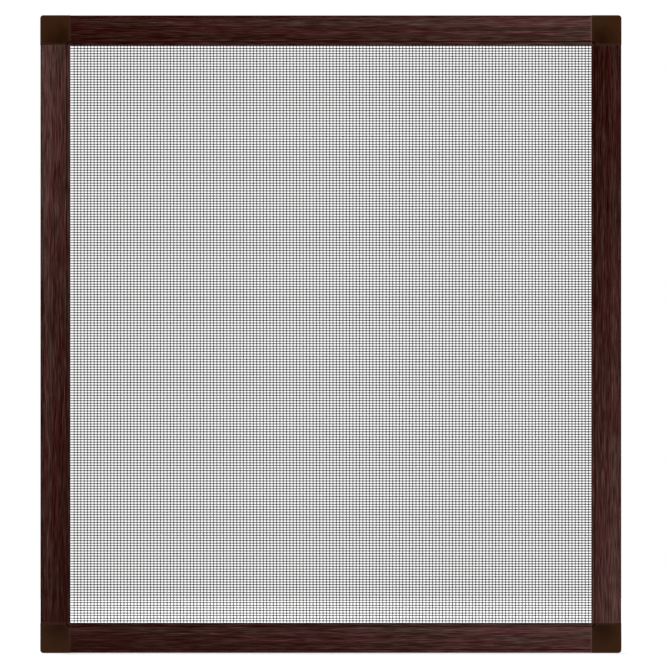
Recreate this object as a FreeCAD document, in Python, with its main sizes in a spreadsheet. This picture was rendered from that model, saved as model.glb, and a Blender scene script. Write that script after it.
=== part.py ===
# Window screen frame: four aluminium rails joined by moulded corner keys, with a woven insect
# mesh that four rubber splines press into a groove at the back.
# Millimetres, +X right, front face towards -Y, +Z up, origin under the middle of the bottom edge.
import FreeCAD
import Part
import Sketcher
import os

DOC = FreeCAD.newDocument("window_screen_frame")

# Driving dimensions
SIZES = [
    ("frame_width", 401.0),  # over the corner blocks
    ("frame_height", 440.0),
    ("rail_face", 20.5),  # outer face to opening
    ("rail_depth", 10.0),  # front to back
    ("rail_wall", 1.0),
    ("edge_round", 0.6),  # rails' long outer edges
    ("lip_strip", 2.0),  # narrow strip beside the opening
    ("lip_setback", 0.8),  # strip behind the front face
    ("lip_wall", 1.5),
    ("shadow_gap", 0.7),  # groove between face and strip
    ("shadow_depth", 1.2),
    ("mesh_thickness", 1.0),
    ("mesh_setback", 1.0),  # mesh in front of the back face
    ("spline_diameter", 3.0),
    ("spline_cover", 1.4),  # spline below the back face
    ("spline_seam", 0.1),  # between butted spline ends
    ("barb_depth", 0.3),  # bead that keeps the spline in
    ("barb_rise", 0.4),
    ("corner_proud", 0.15),  # block beyond the rails' outer faces
    ("corner_round", 2.2),
    ("corner_edge", 0.4),
    ("leg_length", 30.0),
    ("leg_clearance", 0.15),
    ("leg_wall", 1.5),
    ("rib_width", 1.5),  # crush ribs across the legs
    ("rib_inset", 9.0),
    ("mesh_bar", 4.0),  # strip of mesh between two gaps
    ("ridge_width", 2.0),
    ("ridge_rise", 0.25),
    ("gap_columns", 10),
    ("gap_rows", 12),
]
sheet = DOC.addObject("Spreadsheet::Sheet", "dims")
for row, (alias, number) in enumerate(SIZES, 1):
    sheet.set(f"A{row}", alias)
    sheet.set(f"B{row}", str(number))
    sheet.setAlias(f"B{row}", alias)
DOC.recompute()

# Sizes that follow from them. Widths run inwards from a rail's outer face, depths from the front.
OPENING_WIDTH = "(dims.frame_width - 2 * dims.corner_proud - 2 * dims.rail_face)"
OPENING_HEIGHT = "(dims.frame_height - 2 * dims.corner_proud - 2 * dims.rail_face)"
LEFT = "(dims.corner_proud - dims.frame_width / 2)"
RIGHT = "(dims.frame_width / 2 - dims.corner_proud)"
BOTTOM = "dims.corner_proud"
TOP = "(dims.frame_height - dims.corner_proud)"
STRIP_EDGE = "(dims.rail_face - dims.lip_strip)"
FACE_EDGE = f"({STRIP_EDGE} - dims.shadow_gap)"
LIP_BACK = "(dims.rail_depth - dims.mesh_setback - dims.mesh_thickness)"
SPLINE_TOP = "(dims.rail_depth - dims.spline_cover)"
GROOVE_FLOOR = f"({SPLINE_TOP} - dims.spline_diameter - dims.mesh_thickness)"
GROOVE_IN = "(dims.rail_face - dims.lip_wall)"
TUCK = f"({GROOVE_IN} - dims.mesh_thickness)"
GROOVE_OUT = f"({TUCK} - dims.spline_diameter)"
CHAMBER_END = f"({GROOVE_OUT} - dims.rail_wall)"
CHAMBER_BACK = "(dims.rail_depth - dims.rail_wall)"
LEG_NEAR = "(dims.rail_wall + dims.leg_clearance)"
LEG_FAR = f"({CHAMBER_END} - dims.leg_clearance)"
LEG_TIP = "(dims.rail_face + dims.leg_length)"

# Sides and corners share one turn about Y: u runs inwards and z along, from each starting point.
SIDES = [
    ("left", OPENING_HEIGHT, 0, LEFT, f"{BOTTOM} + dims.rail_face"),
    ("top", OPENING_WIDTH, 90, f"-{OPENING_WIDTH} / 2", TOP),
    ("right", OPENING_HEIGHT, 180, RIGHT, f"{TOP} - dims.rail_face"),
    ("bottom", OPENING_WIDTH, 270, f"{OPENING_WIDTH} / 2", BOTTOM),
]
CORNERS = [
    ("bottom_left", 0, LEFT, BOTTOM),
    ("top_left", 90, LEFT, TOP),
    ("top_right", 180, RIGHT, TOP),
    ("bottom_right", 270, RIGHT, BOTTOM),
]


def value(expression):
    return float(sheet.evalExpression(expression))


def start_body(label, turn, x, z):
    body = DOC.addObject("PartDesign::Body", label)
    body.Label = label
    spin = FreeCAD.Rotation(FreeCAD.Vector(0, 1, 0), turn)
    body.Placement = FreeCAD.Placement(FreeCAD.Vector(), spin)
    body.setExpression("Placement.Base.x", x)
    body.setExpression("Placement.Base.y", "-dims.rail_depth / 2")
    body.setExpression("Placement.Base.z", z)
    return body


def start_sketch(body, name, plane, lift):
    sketch = body.newObject("Sketcher::SketchObject", name)
    support = [part for part in body.Origin.OriginFeatures if part.Role == plane][0]
    sketch.AttachmentSupport = (support, [""])
    sketch.MapMode = "FlatFace"
    sketch.setExpression("AttachmentOffset.Base.z", lift)
    return sketch


def pin(sketch, kind, shape, point, expression):
    # Distance from the origin, measured the way that keeps its number positive.
    distance = value(expression)
    if distance == 0:
        axis = {"DistanceX": -2, "DistanceY": -1}[kind]
        sketch.addConstraint(Sketcher.Constraint("PointOnObject", shape, point, axis))
        return
    if distance > 0:
        constraint = Sketcher.Constraint(kind, -1, 1, shape, point, distance)
    else:
        constraint = Sketcher.Constraint(kind, shape, point, -1, 1, -distance)
        expression = f"-({expression})"
    index = sketch.addConstraint(constraint)
    sketch.setExpression(f"Constraints[{index}]", expression)


def draw_outline(sketch, points):
    places = [FreeCAD.Vector(value(x), value(y), 0) for x, y in points]
    first = sketch.GeometryCount
    following = [first + (i + 1) % len(points) for i in range(len(points))]
    for i, place in enumerate(places):
        sketch.addGeometry(Part.LineSegment(place, places[(i + 1) % len(places)]))
    for i, after in enumerate(following):
        sketch.addConstraint(Sketcher.Constraint("Coincident", first + i, 2, after, 1))
    for i, (x, y) in enumerate(points):
        pin(sketch, "DistanceX", first + i, 1, x)
        pin(sketch, "DistanceY", first + i, 1, y)


def draw_circle(sketch, x, y, radius):
    centre = FreeCAD.Vector(value(x), value(y), 0)
    circle = sketch.addGeometry(Part.Circle(centre, FreeCAD.Vector(0, 0, 1), value(radius)))
    pin(sketch, "DistanceX", circle, 3, x)
    pin(sketch, "DistanceY", circle, 3, y)
    index = sketch.addConstraint(Sketcher.Constraint("Radius", circle, value(radius)))
    sketch.setExpression(f"Constraints[{index}]", radius)


def rectangle(x0, y0, x1, y1):
    return [(x0, y0), (x1, y0), (x1, y1), (x0, y1)]


def extrude(body, kind, sketch, length, reverse=False):
    before = body.Tip.Shape.Volume if body.Tip else 0.0
    feature = body.newObject(f"PartDesign::{kind}", f"{sketch.Name}_{kind.lower()}")
    feature.Profile = sketch
    feature.setExpression("Length", length)
    feature.Reversed = reverse
    sketch.Visibility = False
    DOC.recompute()
    grown = feature.Shape.Volume - before
    if (grown > 0) != (kind == "Pad"):
        raise RuntimeError(f"{feature.Name} changed the volume by {grown:.3f}")
    return feature


# Features of the corners and the mesh are drawn from the front and run back from a given depth.
def pad_back(body, name, outlines, depth, length):
    sketch = start_sketch(body, name, "XZ_Plane", f"-{depth}")
    for points in outlines:
        draw_outline(sketch, points)
    return extrude(body, "Pad", sketch, length, reverse=True)


def cut_back(body, name, outlines, depth, length):
    sketch = start_sketch(body, name, "XZ_Plane", f"-{depth}")
    for points in outlines:
        draw_outline(sketch, points)
    return extrude(body, "Pocket", sketch, length)


def round_edges(body, name, radius, wanted):
    base = body.Tip
    edges = [f"Edge{i}" for i, edge in enumerate(base.Shape.Edges, 1) if wanted(edge)]
    fillet = body.newObject("PartDesign::Fillet", name)
    fillet.Base = (base, edges)
    fillet.setExpression("Radius", radius)
    DOC.recompute()
    return fillet


def near(first, second):
    return abs(first - second) < 1e-6


def lies_along(edge, **places):
    # Every point of the edge has these coordinates.
    box = edge.BoundBox
    spans = {"x": (box.XMin, box.XMax), "y": (box.YMin, box.YMax), "z": (box.ZMin, box.ZMax)}
    return all(near(end, place) for axis, place in places.items() for end in spans[axis])


def make_rail(side, length, turn, x, z):
    body = start_body(f"{side}_rail", turn, x, z)
    section = start_sketch(body, f"{side}_rail_section", "XY_Plane", "0")
    draw_outline(section, [
        ("0", "0"),
        (FACE_EDGE, "0"),
        (FACE_EDGE, "dims.shadow_depth"),
        (STRIP_EDGE, "dims.shadow_depth"),
        (STRIP_EDGE, "dims.lip_setback"),
        ("dims.rail_face", "dims.lip_setback"),
        ("dims.rail_face", LIP_BACK),
        (GROOVE_IN, LIP_BACK),
        (GROOVE_IN, GROOVE_FLOOR),
        (GROOVE_OUT, GROOVE_FLOOR),
        (GROOVE_OUT, SPLINE_TOP),
        (f"{GROOVE_OUT} + dims.barb_depth", f"{SPLINE_TOP} + dims.barb_rise"),
        (GROOVE_OUT, f"{SPLINE_TOP} + 2 * dims.barb_rise"),
        (GROOVE_OUT, "dims.rail_depth"),
        ("0", "dims.rail_depth"),
    ])
    draw_outline(section, [
        ("dims.rail_wall", "dims.rail_wall"),
        (f"{FACE_EDGE} - dims.rail_wall", "dims.rail_wall"),
        (f"{FACE_EDGE} - dims.rail_wall", f"{GROOVE_FLOOR} - dims.rail_wall"),
        (CHAMBER_END, f"{GROOVE_FLOOR} - dims.rail_wall"),
        (CHAMBER_END, CHAMBER_BACK),
        ("dims.rail_wall", CHAMBER_BACK),
    ])
    extrude(body, "Pad", section, length)
    depth = value("dims.rail_depth")
    round_edges(
        body, f"{side}_rail_edges", "dims.edge_round",
        lambda edge: lies_along(edge, x=0, y=0) or lies_along(edge, x=0, y=depth),
    )
    return body


def make_corner(corner, turn, x, z):
    body = start_body(f"corner_{corner}", turn, x, z)
    name = f"corner_{corner}"
    outer = "-dims.corner_proud"
    inner = "dims.rail_face"
    pad_back(body, f"{name}_block", [rectangle(outer, outer, inner, inner)], "0", "dims.rail_depth")
    proud = value(outer)
    round_edges(body, f"{name}_round", "dims.corner_round", lambda edge: lies_along(edge, x=proud, z=proud))
    depth = value("dims.rail_depth")
    round_edges(
        body, f"{name}_edges", "dims.corner_edge",
        lambda edge: lies_along(edge, y=0) or lies_along(edge, y=depth),
    )

    # The strip and its shadow groove turn the opening's corner in a quarter circle.
    strip = start_sketch(body, f"{name}_strip", "XZ_Plane", "0")
    draw_circle(strip, inner, inner, "dims.lip_strip")
    extrude(body, "Pocket", strip, "dims.lip_setback")
    shadow = start_sketch(body, f"{name}_shadow", "XZ_Plane", "0")
    draw_circle(shadow, inner, inner, "dims.lip_strip")
    draw_circle(shadow, inner, inner, "dims.lip_strip + dims.shadow_gap")
    extrude(body, "Pocket", shadow, "dims.shadow_depth")

    # At the back the lip stands lower, and the spline groove turns the corner outside it.
    post = rectangle(GROOVE_OUT, GROOVE_OUT, inner, inner)
    cut_back(body, f"{name}_post", [post], LIP_BACK, f"dims.rail_depth - {LIP_BACK}")
    groove = [
        (GROOVE_OUT, GROOVE_OUT),
        (inner, GROOVE_OUT),
        (inner, GROOVE_IN),
        (GROOVE_IN, GROOVE_IN),
        (GROOVE_IN, inner),
        (GROOVE_OUT, inner),
    ]
    cut_back(body, f"{name}_groove", [groove], GROOVE_FLOOR, f"dims.rail_depth - {GROOVE_FLOOR}")

    # Two cored legs, with crush ribs that touch the rails' chamber walls.
    legs = [
        (LEG_NEAR, LEG_NEAR),
        (LEG_TIP, LEG_NEAR),
        (LEG_TIP, LEG_FAR),
        (LEG_FAR, LEG_FAR),
        (LEG_FAR, LEG_TIP),
        (LEG_NEAR, LEG_TIP),
    ]
    leg_depth = f"(dims.rail_depth - 2 * {LEG_NEAR})"
    pad_back(body, f"{name}_legs", [legs], LEG_NEAR, leg_depth)
    core_near = f"{LEG_NEAR} + dims.leg_wall"
    core_far = f"{LEG_FAR} - dims.leg_wall"
    core_tip = f"{LEG_TIP} - dims.leg_wall"
    core_root = "dims.rail_face + dims.leg_wall"
    cores = [
        rectangle(core_root, core_near, core_tip, core_far),
        rectangle(core_near, core_root, core_far, core_tip),
    ]
    cut_back(body, f"{name}_cores", cores, LEG_NEAR, f"{leg_depth} - dims.leg_wall")
    ribs = []
    for place in ("dims.rail_face + dims.rib_inset", f"{LEG_TIP} - dims.rib_inset"):
        rib_start = f"{place} - dims.rib_width / 2"
        rib_end = f"{place} + dims.rib_width / 2"
        ribs.append(rectangle(rib_start, LEG_NEAR, rib_end, LEG_FAR))
        ribs.append(rectangle(LEG_NEAR, rib_start, LEG_FAR, rib_end))
    pad_back(body, f"{name}_ribs", ribs, "dims.rail_wall", "dims.rail_depth - 2 * dims.rail_wall")
    return body


def inset_rectangle(inset):
    far_x = f"dims.frame_width - 2 * dims.corner_proud - {inset}"
    far_z = f"dims.frame_height - 2 * dims.corner_proud - {inset}"
    return rectangle(inset, inset, far_x, far_z)


def repeat(body, feature, axis, pitch, count):
    pattern = body.newObject("PartDesign::LinearPattern", f"{feature.Name}_along_{axis[0].lower()}")
    pattern.Originals = [feature]
    pattern.Direction = (feature.Profile[0], [axis])
    pattern.setExpression("Length", f"{pitch} * ({count} - 1)")
    pattern.setExpression("Occurrences", count)
    body.Tip = pattern
    DOC.recompute()
    return pattern


def grid(body, feature, pitch_x, pitch_z):
    pattern = body.newObject("PartDesign::LinearPattern", f"{feature.Name}_grid")
    pattern.Originals = [feature]
    pattern.Direction = (feature.Profile[0], ["H_Axis"])
    pattern.setExpression("Length", f"{pitch_x} * (dims.gap_columns - 1)")
    pattern.setExpression("Occurrences", "dims.gap_columns")
    pattern.Direction2 = (feature.Profile[0], ["V_Axis"])
    pattern.setExpression("Length2", f"{pitch_z} * (dims.gap_rows - 1)")
    pattern.setExpression("Occurrences2", "dims.gap_rows")
    body.Tip = pattern
    DOC.recompute()
    return pattern


def make_mesh():
    body = start_body("insect_mesh", 0, LEFT, BOTTOM)
    wall_front = f"({LIP_BACK} + dims.ridge_rise)"
    wall = "(dims.mesh_thickness - 2 * dims.ridge_rise)"
    pitch_x = f"(({OPENING_WIDTH} - dims.mesh_bar) / dims.gap_columns)"
    pitch_z = f"(({OPENING_HEIGHT} - dims.mesh_bar) / dims.gap_rows)"
    pad_back(body, "mesh_wall", [inset_rectangle(TUCK)], wall_front, wall)

    # The edge lies over the lips, goes down the groove's inner wall and ends across its floor.
    edge = [inset_rectangle(TUCK), inset_rectangle("dims.rail_face")]
    pad_back(body, "mesh_edge", edge, LIP_BACK, "dims.mesh_thickness")
    skirt = [inset_rectangle(TUCK), inset_rectangle(GROOVE_IN)]
    skirt_depth = f"{LIP_BACK} + dims.mesh_thickness - {GROOVE_FLOOR}"
    pad_back(body, "mesh_skirt", skirt, GROOVE_FLOOR, skirt_depth)
    foot = [inset_rectangle(GROOVE_OUT), inset_rectangle(TUCK)]
    pad_back(body, "mesh_foot", foot, GROOVE_FLOOR, "dims.mesh_thickness")

    # Weft ridges on the front and warp ridges on the back run along the middle of the bars.
    ridge_start = "dims.rail_face + dims.mesh_bar / 2 - dims.ridge_width / 2"
    ridge_end = "dims.rail_face + dims.mesh_bar / 2 + dims.ridge_width / 2"
    weft = rectangle("dims.rail_face", ridge_start, f"dims.rail_face + {OPENING_WIDTH}", ridge_end)
    first_weft = pad_back(body, "mesh_weft", [weft], LIP_BACK, "dims.ridge_rise")
    repeat(body, first_weft, "V_Axis", pitch_z, "dims.gap_rows + 1")
    warp = rectangle(ridge_start, "dims.rail_face", ridge_end, f"dims.rail_face + {OPENING_HEIGHT}")
    warp_front = f"({LIP_BACK} + dims.mesh_thickness - dims.ridge_rise)"
    first_warp = pad_back(body, "mesh_warp", [warp], warp_front, "dims.ridge_rise")
    repeat(body, first_warp, "H_Axis", pitch_x, "dims.gap_columns + 1")

    # Open gaps in the wall stand for the mesh's own openings.
    gap_start = "dims.rail_face + dims.mesh_bar"
    gap = rectangle(gap_start, gap_start, f"dims.rail_face + {pitch_x}", f"dims.rail_face + {pitch_z}")
    one_gap = cut_back(body, "mesh_gap", [gap], wall_front, wall)
    grid(body, one_gap, pitch_x, pitch_z)
    return body


def make_spline(side, length, turn, x, z):
    # The top and bottom splines run into the corners, and the other two butt against them.
    if side in ("top", "bottom"):
        overrun = f"(dims.rail_face - {GROOVE_OUT})"
    else:
        overrun = f"(dims.rail_face - {TUCK} - dims.spline_seam)"
    body = start_body(f"{side}_spline", turn, x, z)
    section = start_sketch(body, f"{side}_spline_section", "XY_Plane", f"-{overrun}")
    radius = "dims.spline_diameter / 2"
    draw_circle(section, f"{GROOVE_OUT} + {radius}", f"{SPLINE_TOP} - {radius}", radius)
    extrude(body, "Pad", section, f"{length} + 2 * {overrun}")
    return body


parts = []
for place in SIDES:
    parts.append(make_rail(*place))
for place in CORNERS:
    parts.append(make_corner(*place))
parts.append(make_mesh())
for place in SIDES:
    parts.append(make_spline(*place))
DOC.recompute()

# Nothing is written unless the whole document is sound.
for item in DOC.Objects:
    if "Invalid" in item.State or "Error" in item.State:
        raise RuntimeError(f"{item.Label} failed: {item.State}")
for part in parts:
    if part.Shape.isNull() or not part.Shape.isValid() or len(part.Shape.Solids) != 1:
        raise RuntimeError(f"{part.Label} is not one sound solid")
os.makedirs("parts", exist_ok=True)
for part in parts:
    part.Shape.exportStep(f"parts/{part.Label}.step")
    print(f"{part.Label}: {part.Shape.Volume:.1f} cubic mm")
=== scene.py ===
import bpy
import numpy as np
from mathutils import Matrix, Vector


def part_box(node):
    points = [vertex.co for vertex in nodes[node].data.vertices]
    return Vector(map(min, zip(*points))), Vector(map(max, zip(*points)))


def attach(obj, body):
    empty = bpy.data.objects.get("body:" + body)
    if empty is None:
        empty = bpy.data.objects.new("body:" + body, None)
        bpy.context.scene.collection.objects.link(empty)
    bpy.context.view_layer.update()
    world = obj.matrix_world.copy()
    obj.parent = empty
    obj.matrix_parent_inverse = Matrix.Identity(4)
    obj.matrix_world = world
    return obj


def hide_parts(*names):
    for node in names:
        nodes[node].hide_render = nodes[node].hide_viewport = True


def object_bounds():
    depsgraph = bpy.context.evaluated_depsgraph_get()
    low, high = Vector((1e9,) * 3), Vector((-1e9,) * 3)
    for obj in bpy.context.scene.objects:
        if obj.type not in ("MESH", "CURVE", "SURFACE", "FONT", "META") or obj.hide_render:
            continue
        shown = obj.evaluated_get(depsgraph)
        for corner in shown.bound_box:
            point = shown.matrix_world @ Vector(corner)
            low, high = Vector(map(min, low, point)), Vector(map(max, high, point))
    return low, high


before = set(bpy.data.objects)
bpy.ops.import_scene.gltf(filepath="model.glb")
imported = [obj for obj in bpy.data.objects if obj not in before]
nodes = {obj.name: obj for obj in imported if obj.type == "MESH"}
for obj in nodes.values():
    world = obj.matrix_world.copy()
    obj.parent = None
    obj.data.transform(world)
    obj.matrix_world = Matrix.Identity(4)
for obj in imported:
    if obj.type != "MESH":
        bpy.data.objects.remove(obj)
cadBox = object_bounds()
middle = (cadBox[0] + cadBox[1]) / 2
mm = 0.001
toMm = 1000.0
print("frame loaded:", len(nodes), "nodes")


def hexToLinear(text):
    parts = [int(text[i:i + 2], 16) / 255 for i in (1, 3, 5)]
    return [p / 12.92 if p <= 0.04045 else ((p + 0.055) / 1.055) ** 2.4 for p in parts] + [1.0]


# one node with its settings and links: a word that the node knows is set on it, anything else is a socket,
# and a node given as a link stands for its first output
def addNode(tree, kind, settings=None, links=None):
    node = tree.nodes.new("ShaderNode" + kind)
    for key, value in (settings or {}).items():
        if isinstance(key, str) and hasattr(node, key):
            setattr(node, key, value)
        else:
            node.inputs[key].default_value = value
    for key, source in (links or {}).items():
        tree.links.new(source.outputs[0] if hasattr(source, "outputs") else source, node.inputs[key])
    return node


def emptyTree(owner):
    owner.use_nodes = True
    owner.node_tree.nodes.clear()
    return owner.node_tree


def startMaterial(name, shaderSettings):
    material = bpy.data.materials.new(name)
    tree = emptyTree(material)
    shader = addNode(tree, "BsdfPrincipled", shaderSettings)
    addNode(tree, "OutputMaterial", None, {"Surface": shader})
    return material, tree, shader


# the part's own coordinates in millimetres, so that every pattern has a real size
def millimetres(tree):
    metres = addNode(tree, "TexCoord").outputs["Object"]
    place = addNode(tree, "VectorMath", {"operation": "SCALE", "Scale": toMm}, {0: metres})
    return place, addNode(tree, "SeparateXYZ", None, {0: place}).outputs


# a curve through places and their values, which are lifted over nought while they are a ramp's colours
def addCurve(tree, stops, length, place, bend="LINEAR"):
    share = addNode(tree, "Math", {"operation": "DIVIDE", 1: length}, {0: place})
    ramp = addNode(tree, "ValToRGB", None, {0: share})
    ramp.color_ramp.interpolation = bend
    points = ramp.color_ramp.elements
    points.remove(points[1])
    lift = -min(0, *stops.values())
    for where, value in stops.items():
        point = points.new(where / length) if where > 0 else points[0]
        point.color = (value + lift,) * 3 + (1,)
    return addNode(tree, "Math", {"operation": "SUBTRACT", 1: lift}, {0: ramp})


def finishNode(name, material):
    mesh = nodes[name].data
    mesh.materials.clear()
    mesh.materials.append(material)


# Rails: extruded aluminium, powder coated dark brown, with a wood grain transferred on by heat.
# The eye gets long lines and short fine streaks along each rail, a slow drift from dark to pale
# from one end to the other that is painted sheen, and a satin sheen.
railFinish = {
    "darkInk": "#2c0d06",
    # the pale ink is also the colour of the painted sheen towards the pale end
    "paleInkAndSheen": "#4a302d",
    "lumaOfDark": 0.0125,        # share of light that the dark ink gives back
    "lumaOfPale": 0.0415,
    "inkReach": (-0.3, 2.0),     # how far a mix may go, with the dark ink at 0 and the pale one at 1
    # the drift is painted sheen: the rail is paler and greyer towards its pale end
    "drift": {0.0: 0.0137, 0.5: 0.0216, 1.0: 0.0373},  # share of the way to the pale end: share of light
    # mm from one edge: tone, the logarithm of brightness; the dark start is painted shade where the rounded
    # edge turns away
    "lines": {0.0: -0.4, 0.9: -0.1, 3.0: 0.1, 5.6: 0.28, 7.3: 0.1, 8.7: -0.05, 9.8: -0.24, 10.9: 0.0,
              12.2: 0.03, 13.4: -0.16, 14.7: -0.13, 16.2: -0.15, 17.6: -0.05, 20.0: -0.1},
    # mm from the edge that carries the lip: tone of its strip, and share of the painted shade in the groove
    # beside it
    # the strip's tone is partly print, partly painted light beside the groove and painted shade at its
    # rounded edge
    "lip": {0.0: -0.15, 1.0: 0.05, 1.8: 0.2, 2.7: 0.0},
    "groove": {0.0: 0.0, 1.98: 0.0, 2.05: 1.0, 2.68: 1.0, 2.75: 0.0},
    "lipDepth": 2.0,             # mm behind the front face
    # patterns, in mm along and across a rail, each with an offset that keeps it apart from the others
    "streak": {"length": 12.0, "width": 0.4, "offset": 13.0},  # finer in print, drawn as coarse as shows
    "longLine": {"length": 260.0, "width": 1.1, "offset": 7.0},  # runs on for most of the rail
    "waver": {"length": 48.0, "width": 9.0, "offset": 0.0},
    "tint": {"length": 45.0, "width": 3.5, "offset": 23.0},
    "streakContrast": 4.4,       # in tone
    "longLineContrast": 0.75,
    "waverReach": 0.6,           # mm that the grain wanders sideways
    "warmTint": (1.12, 0.91, 0.98),
    "oliveTint": (0.89, 1.09, 0.94),
    "tintSpan": (0.35, 0.65),    # the pattern's values that are all warm and all olive
    "sawnColour": "#7a5c55",     # film drawn back where the rail was sawn
    "sawnWidth": 0.8,            # mm
    "sawnAtDark": 0.12,
    "ior": 1.5,
    "gloss": 0.06,               # matt film, little mirrored straight on
    "roughness": 0.34,
    "roughnessSpread": 0.08,
    "sheenSpan": (0.3, 0.7),     # the streaks' values that are glossiest and dullest
    "grainDepth": 0.02,          # mm
}
# along is the axis that a rail runs along. The signs give its palest end and the edges that its lip and
# its lines are counted from: the bottom rail's print repeats the top rail's and is not turned over.
# sawn is how much of the bare cut shows at the palest end, and level the print's brightness, set per rail as
# painted light and shade that evens out how the lamps light each rail.
# grooveLuma is the share of light that the painted shade in the groove gives back, alike all along a rail, so
# that it fades into the dark end. On the bottom rail it is a painted shadow line with no groove under it,
# lipShift mm nearer the edge. On the others the painted shade lies in the real groove, which shades it
# further.
rails = {
    "top_rail": {"along": 0, "pale": 1, "lipFrom": -1, "lipShift": 0.0, "linesFrom": 1,
                 "sawn": 0.8, "level": 1.02, "grooveLuma": 0.021, "seed": 3.0},
    "bottom_rail": {"along": 0, "pale": 1, "lipFrom": -1, "lipShift": 0.3, "linesFrom": 1,
                    "sawn": 0.6, "level": 1.08, "grooveLuma": 0.009, "seed": 31.0},
    "left_rail": {"along": 2, "pale": 1, "lipFrom": 1, "lipShift": 0.0, "linesFrom": -1,
                  "sawn": 0.12, "level": 1.0, "grooveLuma": 0.02, "seed": 59.0},
    "right_rail": {"along": 2, "pale": -1, "lipFrom": -1, "lipShift": 0.0, "linesFrom": 1,
                   "sawn": 0.12, "level": 1.02, "grooveLuma": 0.0155, "seed": 83.0},
}


def printedAluminium(name, along, pale, lipFrom, lipShift, linesFrom, sawn, level, grooveLuma, seed):
    look = railFinish
    material, tree, shader = startMaterial(f"woodPrintedAluminium_{name}",
                                           {"IOR": look["ior"], "Specular IOR Level": look["gloss"]})
    axes = millimetres(tree)[1]
    run, depth = axes[along], axes[1]
    low, high = [[value * toMm for value in corner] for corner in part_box(name)]
    side = 2 - along
    face = high[side] - low[side]
    darkEnd, paleEnd = (low[along], high[along]) if pale > 0 else (high[along], low[along])

    def fromEdge(sign, shift=0.0):
        edge = high[side] if sign > 0 else low[side]
        return addNode(tree, "MapRange", {"clamp": False, "From Min": edge, "From Max": edge - sign * face,
                                          "To Min": shift, "To Max": face + shift}, {"Value": axes[side]})

    # noise drawn out along the rail
    def grain(across, length, width, offset):
        parts = []
        for axis, size in ((run, length), (across, width), (depth, width)):
            parts.append(addNode(tree, "Math", {"operation": "MULTIPLY_ADD", 1: 1 / size, 2: seed + offset},
                                 {0: axis}))
        place = addNode(tree, "CombineXYZ", None, dict(enumerate(parts)))
        return addNode(tree, "TexNoise", {"Scale": 1.0, "Detail": 2.0}, {"Vector": place})

    # a pattern added around its own middle, so that the mean stays
    def swayed(base, pattern, contrast):
        centred = addNode(tree, "Math", {"operation": "SUBTRACT", 1: 0.5}, {0: pattern})
        return addNode(tree, "Math", {"operation": "MULTIPLY_ADD", 1: contrast}, {0: centred, 2: base})

    # the grain wanders a little across the rail
    inwards = fromEdge(linesFrom)
    wavy = swayed(inwards, grain(inwards, **look["waver"]), look["waverReach"])

    # tone is the logarithm of brightness: printed lines with painted shade at the edge they start from, the
    # lip's strip with its painted light and shade, long lines and short streaks
    atFront = addNode(tree, "Math", {"operation": "LESS_THAN", 1: low[1] + look["lipDepth"]}, {0: depth})
    fromLip = fromEdge(lipFrom, lipShift)
    strip, groove = [addNode(tree, "Math", {"operation": "MULTIPLY"},
                             {0: addCurve(tree, look[key], face, fromLip), 1: atFront})
                     for key in ("lip", "groove")]
    lines = addCurve(tree, look["lines"], face, wavy, "CARDINAL")
    tone = addNode(tree, "Math", {"operation": "ADD"}, {0: lines, 1: strip})
    tone = swayed(tone, grain(wavy, **look["longLine"]), look["longLineContrast"])
    streak = grain(wavy, **look["streak"])
    tone = swayed(tone, streak, look["streakContrast"])

    # brightness, with painted sheen that drifts along the rail, gives the share of the two inks
    way = addNode(tree, "MapRange", {"From Min": darkEnd, "From Max": paleEnd}, {"Value": run})
    drift = addCurve(tree, {at: value * level for at, value in look["drift"].items()}, 1.0, way)
    factor = addNode(tree, "Math", {"operation": "EXPONENT"}, {0: tone})
    printed = addNode(tree, "Math", {"operation": "MULTIPLY"}, {0: factor, 1: drift})
    # in the groove the colour is painted shade, equally dark all along the rail
    luma = addNode(tree, "Mix", {3: grooveLuma}, {0: groove, 2: printed})
    share = addNode(tree, "MapRange", {"clamp": False, "From Min": look["lumaOfDark"],
                                       "From Max": look["lumaOfPale"]}, {"Value": luma})
    least, most = look["inkReach"]
    held = addNode(tree, "Clamp", {"Min": least, "Max": most}, {"Value": share})
    inked = addNode(tree, "Mix", {"data_type": "RGBA", "clamp_factor": False, 6: hexToLinear(look["darkInk"]),
                                  7: hexToLinear(look["paleInkAndSheen"])}, {0: held})

    # the print's red and olive inks drift against each other
    warm, olive = look["tintSpan"]
    turn = addNode(tree, "MapRange", {"From Min": warm, "From Max": olive},
                   {"Value": grain(wavy, **look["tint"])})
    tint = addNode(tree, "Mix", {"data_type": "VECTOR", 4: look["warmTint"], 5: look["oliveTint"]}, {0: turn})
    tinted = addNode(tree, "VectorMath", {"operation": "MULTIPLY"}, {0: inked.outputs[2], 1: tint.outputs[1]})

    # sawn ends
    cut = look["sawnWidth"] * pale
    ends = []
    for end, inside, strength in ((paleEnd, paleEnd - cut, sawn),
                                  (darkEnd, darkEnd + cut, look["sawnAtDark"])):
        ends.append(addNode(tree, "MapRange", {"From Min": inside, "From Max": end, "To Max": strength},
                            {"Value": run}))
    bare = addNode(tree, "Math", {"operation": "MAXIMUM"}, dict(enumerate(ends)))
    colour = addNode(tree, "Mix", {"data_type": "RGBA", 7: hexToLinear(look["sawnColour"])},
                     {0: bare, 6: tinted})

    half = look["roughnessSpread"] / 2
    glossiest, dullest = look["sheenSpan"]
    dull = addNode(tree, "MapRange", {"From Min": glossiest, "From Max": dullest,
                                      "To Min": look["roughness"] - half, "To Max": look["roughness"] + half},
                   {"Value": streak})
    relief = addNode(tree, "Bump", {"Distance": look["grainDepth"] * mm}, {"Height": streak})
    tree.links.new(colour.outputs[2], shader.inputs["Base Color"])
    tree.links.new(dull.outputs[0], shader.inputs["Roughness"])
    tree.links.new(relief.outputs[0], shader.inputs["Normal"])
    return material


for name, rail in rails.items():
    finishNode(name, printedAluminium(name, **rail))
print("rails printed:", len(rails))
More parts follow.
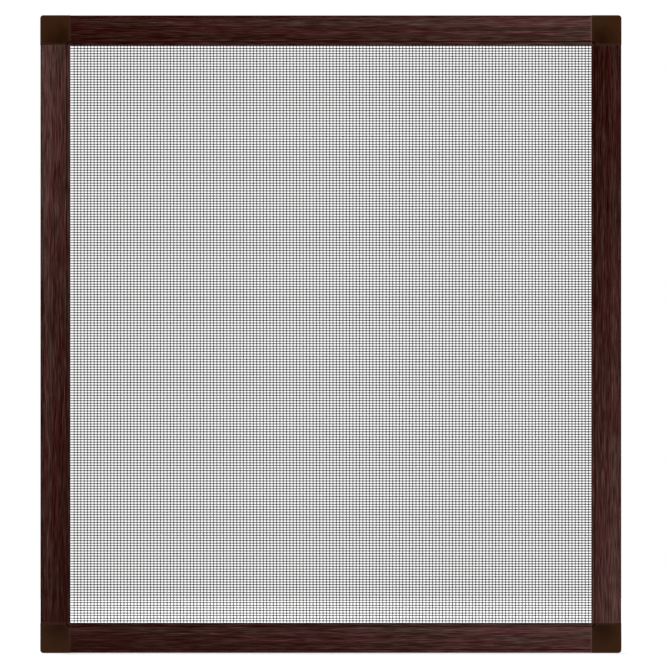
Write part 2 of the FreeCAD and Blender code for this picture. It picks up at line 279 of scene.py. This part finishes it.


# Corner keys: ABS moulded in a spark-eroded tool. The eye gets a plain warm brown, darker in a patch
# over the legs, with a very fine even texture and a duller sheen than the rails.
cornerFinish = {
    "deep": "#210c02",
    "warm": "#371f0d",
    # painted sheen on the bevelled edges that meet the rails
    "bevelSheen": "#38231a",           # paler along the edges that meet the rails
    "bevelSheenBand": {0.0: 0.8, 0.8: 0.6, 1.7: 0.0},  # mm from a rail: share
    # painted shade: the groove round the opening's corner, darker than the plastic
    "groove": "#080301",         # unlit bottom of the groove round the opening's corner
    # mm from the opening's corner: share of the painted shade
    "grooveRing": {0.0: 0.0, 1.9: 0.0, 2.05: 1.0, 2.65: 1.0, 2.8: 0.0},
    "grooveDepth": 2.0,          # mm behind the front face
    "patchAside": 13.5,           # mm from the outer upright edge to the middle of the dark patch
    "patchInwards": 18.0,         # mm from the outer level edge
    "patchRadius": 15.0,
    "cloud": 7.0,                # mm
    "cloudShare": 0.7,
    "grit": 0.35,                # mm, spark-eroded texture, drawn coarser than the real one so that it shows
    "gritDepth": 0.006,
    "ior": 1.53,
    "gloss": 0.06,               # dulled by the texture
    "roughness": 0.36,
}
cornerKeys = ["corner_top_left", "corner_top_right", "corner_bottom_left", "corner_bottom_right"]


def mouldedPlastic():
    look = cornerFinish
    material, tree, shader = startMaterial("mouldedAbs_brown",
                                           {"IOR": look["ior"], "Roughness": look["roughness"],
                                            "Specular IOR Level": look["gloss"]})
    place, axes = millimetres(tree)

    # how far outwards a point lies from a place given from the frame's middle, alike in all four corners
    def outwardsOf(x, z):
        parts = []
        for axis, centre, offset in ((axes[0], middle.x, x), (axes[2], middle.z, z)):
            aside = addNode(tree, "Math", {"operation": "SUBTRACT", 1: centre * toMm}, {0: axis})
            length = addNode(tree, "Math", {"operation": "ABSOLUTE"}, {0: aside})
            parts.append(addNode(tree, "Math", {"operation": "SUBTRACT", 1: offset}, {0: length}))
        return dict(enumerate(parts))

    def distance(parts):
        joined = addNode(tree, "CombineXYZ", None, parts)
        return addNode(tree, "VectorMath", {"operation": "LENGTH"}, {0: joined}).outputs["Value"]

    # a dark patch over the legs
    halfSize = (cadBox[1] - middle) * toMm
    away = distance(outwardsOf(halfSize.x - look["patchAside"], halfSize.z - look["patchInwards"]))
    cloud = addNode(tree, "TexNoise", {"Scale": 1 / look["cloud"], "Detail": 2.0}, {"Vector": place})
    shaken = addNode(tree, "Math", {"operation": "MULTIPLY_ADD", 1: look["cloudShare"],
                                    2: -look["cloudShare"] / 2}, {0: cloud})
    share = addNode(tree, "Math", {"operation": "MULTIPLY_ADD", "use_clamp": True, 1: 1 / look["patchRadius"]},
                    {0: away, 2: shaken})
    brown = addNode(tree, "Mix", {"data_type": "RGBA", 6: hexToLinear(look["deep"]),
                                  7: hexToLinear(look["warm"])}, {0: share})

    # painted sheen in bands along the rails, and painted shade in the groove round the opening's corner
    openX = (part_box("right_rail")[0].x - middle.x) * toMm
    openZ = (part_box("top_rail")[0].z - middle.z) * toMm
    fromOpening = outwardsOf(openX, openZ)
    fromRail = addNode(tree, "Math", {"operation": "MINIMUM"}, fromOpening)
    band = addCurve(tree, look["bevelSheenBand"], max(look["bevelSheenBand"]), fromRail)
    bevelSheen = addNode(tree, "Mix", {"data_type": "RGBA", 7: hexToLinear(look["bevelSheen"])},
                   {0: band, 6: brown.outputs[2]})
    ring = addCurve(tree, look["grooveRing"], max(look["grooveRing"]), distance(fromOpening))
    front = cadBox[0].y * toMm + look["grooveDepth"]
    atFront = addNode(tree, "Math", {"operation": "LESS_THAN", 1: front}, {0: axes[1]})
    shaded = addNode(tree, "Math", {"operation": "MULTIPLY"}, {0: ring, 1: atFront})
    colour = addNode(tree, "Mix", {"data_type": "RGBA", 7: hexToLinear(look["groove"])},
                     {0: shaded, 6: bevelSheen.outputs[2]})

    grit = addNode(tree, "TexNoise", {"Scale": 1 / look["grit"], "Detail": 1.0}, {"Vector": place})
    relief = addNode(tree, "Bump", {"Distance": look["gritDepth"] * mm}, {"Height": grit})
    tree.links.new(colour.outputs[2], shader.inputs["Base Color"])
    tree.links.new(relief.outputs[0], shader.inputs["Normal"])
    return material


plastic = mouldedPlastic()
for name in cornerKeys:
    finishNode(name, plastic)
print("corners moulded:", len(cornerKeys))


# Splines: extruded black PVC cord. The eye gets a matt black, a little dusty, with shallow ribs round the
# cord that the roller's teeth grip.
splineFinish = {
    "colour": "#161616",
    "dusty": "#262625",
    "rib": 1.4,                  # mm between ribs
    "ribDepth": 0.08,
    "cloud": 14.0,               # mm
    "ior": 1.53,
    "roughness": 0.55,
}
splines = {"top_spline": 0, "bottom_spline": 0, "left_spline": 2, "right_spline": 2}  # axis along each


def extrudedCord(along):
    look = splineFinish
    material, tree, shader = startMaterial(f"extrudedPvc_black_{'xyz'[along]}",
                                           {"IOR": look["ior"], "Roughness": look["roughness"]})
    place, axes = millimetres(tree)
    cloud = addNode(tree, "TexNoise", {"Scale": 1 / look["cloud"], "Detail": 3.0}, {"Vector": place})
    colour = addNode(tree, "Mix", {"data_type": "RGBA", 6: hexToLinear(look["colour"]),
                                   7: hexToLinear(look["dusty"])}, {0: cloud})
    turns = addNode(tree, "Math", {"operation": "MULTIPLY", 1: 2 * np.pi / look["rib"]}, {0: axes[along]})
    rib = addNode(tree, "Math", {"operation": "SINE"}, {0: turns})
    relief = addNode(tree, "Bump", {"Strength": 1.0, "Distance": look["ribDepth"] / 2 * mm}, {"Height": rib})
    tree.links.new(colour.outputs[2], shader.inputs["Base Color"])
    tree.links.new(relief.outputs[0], shader.inputs["Normal"])
    return material


cords = {along: extrudedCord(along) for along in set(splines.values())}
for name, along in splines.items():
    finishNode(name, cords[along])
print("splines finished:", len(splines))


# Mesh: polyester yarn coated with black vinyl and woven plain, heat-set so that the crossings bond.
# The eye gets a fine even grid with a dull sheen, darkest where two strands cross.
meshWeave = {
    "warpPitch": 2.2923,         # mm, upright strands
    "weftPitch": 1.7891,         # mm, level strands
    "firstWarp": 2.56,           # mm from the opening's left edge
    "firstWeft": 0.28,           # mm from the opening's top edge
    "warpStrand": 0.37,          # mm across
    "weftStrand": 0.57,
    "bond": 0.8,                 # mm that the coating runs along both strands from a crossing
    "crimp": 0.2,                # mm that a strand leaves the mid plane at a crossing
    "drawnUnder": 0.45,          # mm that the strand beside a lip is drawn under it
    "halfSheet": 0.5,            # mm from the mid plane to the sheet's back
    "bands": 5,                  # pieces side by side, for the size of each mesh
    "colour": "#0e0b0c",
    "scuffed": "#191617",
    "cloud": 20.0,               # mm
    "ior": 1.53,
    "gloss": 0.2,
    "roughness": 0.45,
}
# the sheet's edge past the opening, in mm outwards and frontwards
tuck = np.array([
    (0.0, 0.0),
    (1.35, 0.0),                 # over the lip
    (1.85, 0.15),
    (2.0, 0.65),
    (2.0, 2.9),                  # down the groove's wall
    (2.15, 3.3),
    (2.6, 3.4),
    (5.2, 3.4),                  # across its floor
])
tuckReach = np.concatenate([[0], np.cumsum(np.hypot(*np.diff(tuck, axis=0).T))])


def vinylCoatedYarn():
    look = meshWeave
    material, tree, shader = startMaterial("vinylCoatedPolyester_woven",
                                           {"IOR": look["ior"], "Roughness": look["roughness"],
                                            "Specular IOR Level": look["gloss"]})
    place = millimetres(tree)[0]
    cloud = addNode(tree, "TexNoise", {"Scale": 1 / look["cloud"], "Detail": 3.0}, {"Vector": place})
    colour = addNode(tree, "Mix", {"data_type": "RGBA", 6: hexToLinear(look["colour"]),
                                   7: hexToLinear(look["scuffed"])}, {0: cloud})
    tree.links.new(colour.outputs[2], shader.inputs["Base Color"])
    return material


# closed four-sided tubes: points holds x, y, z of each ring of each strand, and wide is the axis across them
def tubes(points, wide, thickness):
    half = thickness / 2
    side = np.broadcast_to(wide, points.shape)
    out = np.cross(side, np.gradient(points, axis=1))
    out = out / np.linalg.norm(out, axis=2, keepdims=True)
    rims = [points + side * half, points + out * half, points - side * half, points - out * half]
    strands, rings = points.shape[:2]
    index = np.arange(strands * rings * 4).reshape(strands, rings, 4)
    after = np.roll(index, -1, axis=2)
    walls = np.stack([index[:, :-1], after[:, :-1], after[:, 1:], index[:, 1:]], axis=-1).reshape(-1, 4)
    caps = np.concatenate([index[:, 0, ::-1], index[:, -1]]).reshape(-1, 4)
    return np.stack(rims, axis=2).reshape(-1, 3), np.concatenate([walls, caps]), len(walls)


# the coating's fillet at each crossing: a tetrahedron with one edge along each strand
def bonds(warp, weft, yMid, sign):
    x, z = (grid.ravel() for grid in np.meshgrid(warp, weft, indexing="ij"))
    lift = meshWeave["crimp"] * sign.ravel()
    reach = meshWeave["bond"]
    onWeft = [(x - reach, yMid - lift, z), (x + reach, yMid - lift, z)]
    onWarp = [(x, yMid + lift, z - reach), (x, yMid + lift, z + reach)]
    tips = np.stack([np.stack(tip, axis=1) for tip in onWeft + onWarp], axis=1)
    sides = np.array([(0, 1, 2), (1, 0, 3), (2, 3, 0), (3, 2, 1)])
    faces = (np.arange(len(x))[:, None, None] * 4 + sides).astype(int)
    faces[lift > 0] = faces[lift > 0][:, :, ::-1]
    return tips.reshape(-1, 3), faces.reshape(-1, 3), 0


# groups hold points, faces and how many of the faces, from the first, are smooth
def meshObject(name, groups, material):
    points, loops, sizes, smooth, base = [], [], [], [], 0
    for places, faces, walls in groups:
        points.append(places)
        loops.append((faces + base).ravel())
        sizes.append(np.full(len(faces), faces.shape[1]))
        smooth.append(np.arange(len(faces)) < walls)
        base += len(places)
    points, loops, sizes, smooth = (np.concatenate(part) for part in (points, loops, sizes, smooth))
    mesh = bpy.data.meshes.new(name)
    mesh.vertices.add(len(points))
    mesh.vertices.foreach_set("co", points.astype(np.float32).ravel() * mm)
    mesh.loops.add(len(loops))
    mesh.loops.foreach_set("vertex_index", loops.astype(np.int32))
    mesh.polygons.add(len(sizes))
    mesh.polygons.foreach_set("loop_start", (np.cumsum(sizes) - sizes).astype(np.int32))
    mesh.polygons.foreach_set("use_smooth", smooth)
    mesh.update(calc_edges=True)
    mesh.validate()
    mesh.materials.append(material)
    made = bpy.data.objects.new(name, mesh)
    bpy.context.scene.collection.objects.link(made)
    return made


# rings of each strand of a comb: a tucked end, one ring at each crossing, a tucked end
def strandRings(lowEnd, crossings, highEnd, lowDepth, depth, highDepth):
    ends = [np.broadcast_to(part, (len(depth), len(part))) for part in (lowDepth, highDepth)]
    return np.concatenate([lowEnd, crossings, highEnd]), np.concatenate([ends[0], depth, ends[1]], axis=1)


def onTuck(reach, yMid):
    return np.interp(reach, tuckReach, tuck[:, 0]), yMid - np.interp(reach, tuckReach, tuck[:, 1])


def weaveBands():
    look = meshWeave
    x0, x1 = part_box("left_rail")[1].x * toMm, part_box("right_rail")[0].x * toMm
    z0, z1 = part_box("bottom_rail")[1].z * toMm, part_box("top_rail")[0].z * toMm
    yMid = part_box("insect_mesh")[1].y * toMm - look["halfSheet"]
    crimp, under = look["crimp"], look["drawnUnder"]
    outwards, frontwards = tuck[1:].T
    ledge = yMid - frontwards
    acrossX, acrossZ = np.array([1.0, 0, 0]), np.array([0, 0, 1.0])

    # strands in the opening, and how far past its edges the sheet carries on with more of them
    warp = np.arange(x0 + look["firstWarp"], x1 - under, look["warpPitch"])
    weft = np.arange(z1 - look["firstWeft"], z0 + under, -look["weftPitch"])[::-1]
    sign = np.where(np.add.outer(np.arange(len(warp)), np.arange(len(weft))) % 2 == 0, 1.0, -1.0)
    edgeWarp = np.arange(under, tuckReach[-1], look["warpPitch"])
    edgeWeft = np.arange(under, tuckReach[-1], look["weftPitch"])

    waves = yMid + crimp * sign
    z, y = strandRings((z0 - outwards)[::-1], weft, z1 + outwards, ledge[::-1], waves, ledge)
    upright = np.stack(np.broadcast_arrays(warp[:, None], y, z), axis=2)
    material = vinylCoatedYarn()
    cuts = np.linspace(0, len(warp), look["bands"] + 1).round().astype(int)
    gap = look["warpPitch"] / 2
    flat = np.array([yMid])
    made = []
    for band in range(look["bands"]):
        first, last = cuts[band], cuts[band + 1]
        atLeft, atRight = first == 0, last == len(warp)
        x = warp[first:last]
        lowEnd, lowDepth = ((x0 - outwards)[::-1], ledge[::-1]) if atLeft else (x[:1] - gap, flat)
        highEnd, highDepth = (x1 + outwards, ledge) if atRight else (x[-1:] + gap, flat)
        waves = yMid - crimp * sign[first:last].T
        across, depth = strandRings(lowEnd, x, highEnd, lowDepth, waves, highDepth)
        level = np.stack(np.broadcast_arrays(across, depth, weft[:, None]), axis=2)
        groups = [
            tubes(upright[first:last], acrossX, look["warpStrand"]),
            tubes(level, acrossZ, look["weftStrand"]),
            bonds(x, weft, yMid, sign[first:last]),
        ]

        # strands that lie along the rails, over the lip and down in the groove
        span = np.array([x0 if atLeft else lowEnd[0], *x, x1 if atRight else highEnd[0]])
        past, back = onTuck(edgeWeft, yMid)
        for edge, away in ((z0, -1), (z1, 1)):
            rows = np.broadcast_arrays(span, back[:, None], (edge + away * past)[:, None])
            groups.append(tubes(np.stack(rows, axis=2), acrossZ, look["weftStrand"]))
        past, back = onTuck(edgeWarp, yMid)
        for edge, away, here in ((x0, -1, atLeft), (x1, 1, atRight)):
            if here:
                columns = np.broadcast_arrays((edge + away * past)[:, None], back[:, None], weft)
                groups.append(tubes(np.stack(columns, axis=2), acrossX, look["warpStrand"]))
        piece = meshObject(f"insect_mesh_{band + 1}", groups, material)
        width = span[-1] - span[0] + tuckReach[-1] * (int(atLeft) + int(atRight))
        made.append((piece, width * mm, (z1 - z0 + 2 * tuckReach[-1]) * mm))
        triangles = sum(faces.size - 2 * len(faces) for places, faces, walls in groups)
        print("mesh band", band + 1, "triangles", triangles)
    return made


bands = weaveBands()
for piece, width, length in bands:
    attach(piece, "root")
    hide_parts("insect_mesh")
print("mesh woven:", len(bands), "bands,", round(sum(band[1] for band in bands) * toMm, 1), "mm in all")


# Stage: a pale floor that keeps the shadow, and white studio for whatever looks at it directly.
stageLook = {
    "floorHalf": 1.3,            # metres
    "floorGap": 0.2,             # mm under the frame
    "floorColour": 0.8,
    "floorGlow": 0.38,           # brings the lit floor up to white
    "frontGlow": 0.16,           # under the lamps in front, which light the floor more
    "fadeFrom": -0.3,            # metres, where the one glow begins to turn into the other
    "fadeTo": -1.2,
    "studioLight": 0.4,
    "studioMirrored": 0.03,      # what is mirrored of it away from the white backdrop
    "backdropSpan": (0.3, 0.9),  # how far backwards a ray points where mirrored white starts and is full
}
white = (1.0, 1.0, 1.0, 1.0)


def paleFloor():
    look = stageLook
    half = look["floorHalf"]
    mesh = bpy.data.meshes.new("studio_floor")
    rim = [(-half, -half, 0), (half, -half, 0), (half, half, 0), (-half, half, 0)]
    mesh.from_pydata(rim, [], [(0, 1, 2, 3)])
    floor = bpy.data.objects.new("studio_floor", mesh)
    bpy.context.scene.collection.objects.link(floor)
    floor.location.z = cadBox[0].z - look["floorGap"] * mm
    material = bpy.data.materials.new("paleStudioFloor")
    tree = emptyTree(material)
    matt = addNode(tree, "BsdfDiffuse", {"Color": (look["floorColour"],) * 3 + (1,)})
    ray = addNode(tree, "LightPath").outputs
    seen = addNode(tree, "Math", {"operation": "MAXIMUM"}, {0: ray["Is Camera Ray"], 1: ray["Is Glossy Ray"]})
    direct = addNode(tree, "Math", {"operation": "MAXIMUM"}, {0: seen, 1: ray["Is Transmission Ray"]})
    place = addNode(tree, "TexCoord").outputs["Object"]
    axes = addNode(tree, "SeparateXYZ", None, {0: place}).outputs
    glow = addNode(tree, "MapRange", {"From Min": look["fadeTo"], "From Max": look["fadeFrom"],
                                      "To Min": look["frontGlow"], "To Max": look["floorGlow"]},
                   {"Value": axes[1]})
    strength = addNode(tree, "Math", {"operation": "MULTIPLY"}, {0: direct, 1: glow})
    light = addNode(tree, "Emission", {"Color": white}, {"Strength": strength})
    both = addNode(tree, "AddShader", None, {0: matt, 1: light})
    addNode(tree, "OutputMaterial", None, {"Surface": both})
    mesh.materials.append(material)


def whiteStudio():
    look = stageLook
    world = bpy.data.worlds.new("whiteStudio")
    bpy.context.scene.world = world
    tree = emptyTree(world)
    ray = addNode(tree, "LightPath").outputs
    towards = addNode(tree, "TexCoord").outputs["Generated"]
    axes = addNode(tree, "SeparateXYZ", None, {0: towards}).outputs
    starts, full = look["backdropSpan"]
    behind = addNode(tree, "MapRange", {"From Min": starts, "From Max": full}, {"Value": axes[1]})
    mirrored = addNode(tree, "Math", {"operation": "MULTIPLY"}, {0: ray["Is Glossy Ray"], 1: behind})
    seen = addNode(tree, "Math", {"operation": "MAXIMUM"}, {0: ray["Is Camera Ray"], 1: mirrored})
    direct = addNode(tree, "Math", {"operation": "MAXIMUM"}, {0: seen, 1: ray["Is Transmission Ray"]})
    ambient = addNode(tree, "Mix", {2: look["studioLight"], 3: look["studioMirrored"]},
                      {0: ray["Is Glossy Ray"]})
    strength = addNode(tree, "Mix", {3: 1.0}, {0: direct, 2: ambient})
    sky = addNode(tree, "Background", {"Color": white}, {"Strength": strength})
    addNode(tree, "OutputWorld", None, {"Surface": sky})


paleFloor()
whiteStudio()

# lamps: a pair in front, high and to the sides so that the flat faces mirror neither, and one behind
lamps = {
    "keyLamp": {"place": (-2.1, -1.9, 2.3), "size": 1.4, "power": 52.0},
    "fillLamp": {"place": (2.3, -1.8, 1.9), "size": 1.6, "power": 42.0},
    "backLamp": {"place": (-1.2, 2.6, 2.7), "size": 1.6, "power": 50.0},
}
for name, lamp in lamps.items():
    light = bpy.data.lights.new(name, "AREA")
    light.size = lamp["size"]
    light.energy = lamp["power"]
    made = bpy.data.objects.new(name, light)
    bpy.context.scene.collection.objects.link(made)
    made.location = lamp["place"]
    made.rotation_euler = (middle - made.location).to_track_quat("-Z", "Y").to_euler()
print("stage lit:", len(lamps), "lamps")

# camera: square on, far off with a long lens, so that the frame shows without perspective
cameraSetup = {
    "lens": 500.0,               # mm
    "pictureWidth": 459.1,       # mm across the picture, at the frame
    "aside": 1.14,               # mm right of the frame's middle
    "above": 1.08,               # mm over it
    "farthest": 100.0,           # metres that it sees
}
lens = bpy.data.cameras.new("photoCamera")
lens.lens = cameraSetup["lens"]
lens.clip_end = cameraSetup["farthest"]
camera = bpy.data.objects.new("photoCamera", lens)
bpy.context.scene.collection.objects.link(camera)
standOff = cameraSetup["pictureWidth"] * mm * cameraSetup["lens"] / lens.sensor_width
target = middle + Vector((cameraSetup["aside"] * mm, 0, cameraSetup["above"] * mm))
camera.location = target - Vector((0, standOff, 0))
camera.rotation_euler = Vector((0, 1, 0)).to_track_quat("-Z", "Y").to_euler()
bpy.context.scene.camera = camera
bpy.context.scene.view_settings.view_transform = "Standard"
print("camera set at", round(standOff, 3), "m")
